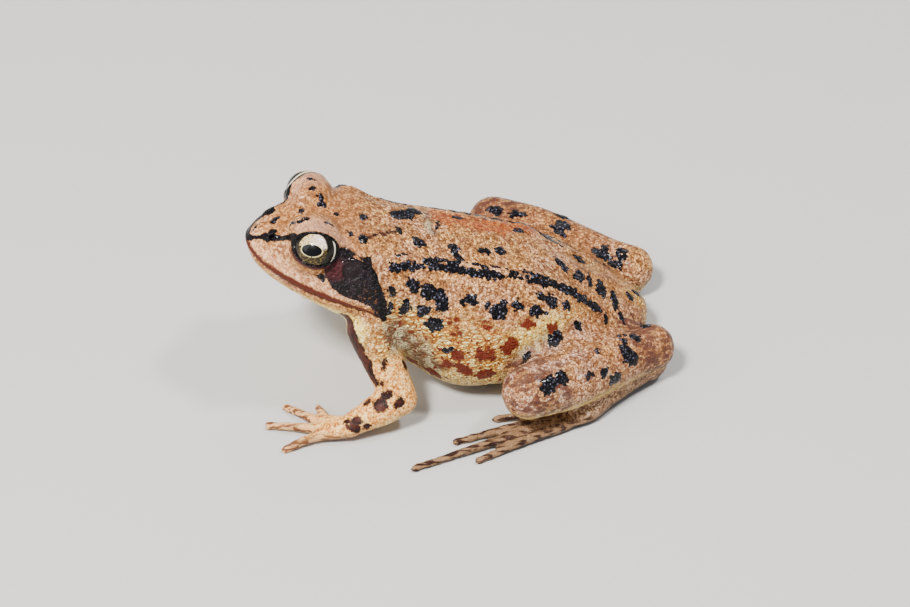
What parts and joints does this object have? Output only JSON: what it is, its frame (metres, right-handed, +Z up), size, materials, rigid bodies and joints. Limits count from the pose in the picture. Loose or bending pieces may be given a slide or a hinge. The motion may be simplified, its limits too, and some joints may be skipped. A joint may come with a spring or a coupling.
{
  "type": "common frog",
  "caption": "Life-size still model of a common frog sitting with its head raised, belly and feet on the ground.",
  "frame": {"origin": "under the middle of the frog's bounding box, at floor level", "axes": "+Z up, the head points along -Y and the frog's left side is towards +X"},
  "size_m": [0.0704, 0.0808, 0.0404],
  "materials": {
    "skin": "moist tan skin with fine granules, glossy black-brown spots and a yellowish belly",
    "eye": "wet glossy eye, gold and bronze iris with a black level pupil",
    "eardrum": "thin smooth dark brown membrane, slightly glossy"
  },
  "bodies": {
    "root": {"eye_left": "eye", "eye_right": "eye", "eardrum_left": "eardrum", "eardrum_right": "eardrum", "head": "skin", "lower_jaw": "skin", "trunk": "skin", "forearm_left": "skin", "upper_arm_left": "skin", "hand_left": "skin", "finger_1_left": "skin", "finger_2_left": "skin", "finger_3_left": "skin", "finger_4_left": "skin", "forearm_right": "skin", "upper_arm_right": "skin", "hand_right": "skin", "finger_1_right": "skin", "finger_2_right": "skin", "finger_3_right": "skin", "finger_4_right": "skin", "shank_left": "skin", "thigh_left": "skin", "tarsus_left": "skin", "toe_1_left": "skin", "toe_2_left": "skin", "toe_3_left": "skin", "toe_4_left": "skin", "toe_5_left": "skin", "foot_left": "skin", "shank_right": "skin", "thigh_right": "skin", "tarsus_right": "skin", "toe_1_right": "skin", "toe_2_right": "skin", "toe_3_right": "skin", "toe_4_right": "skin", "toe_5_right": "skin", "foot_right": "skin"}
  },
  "joints": []
}
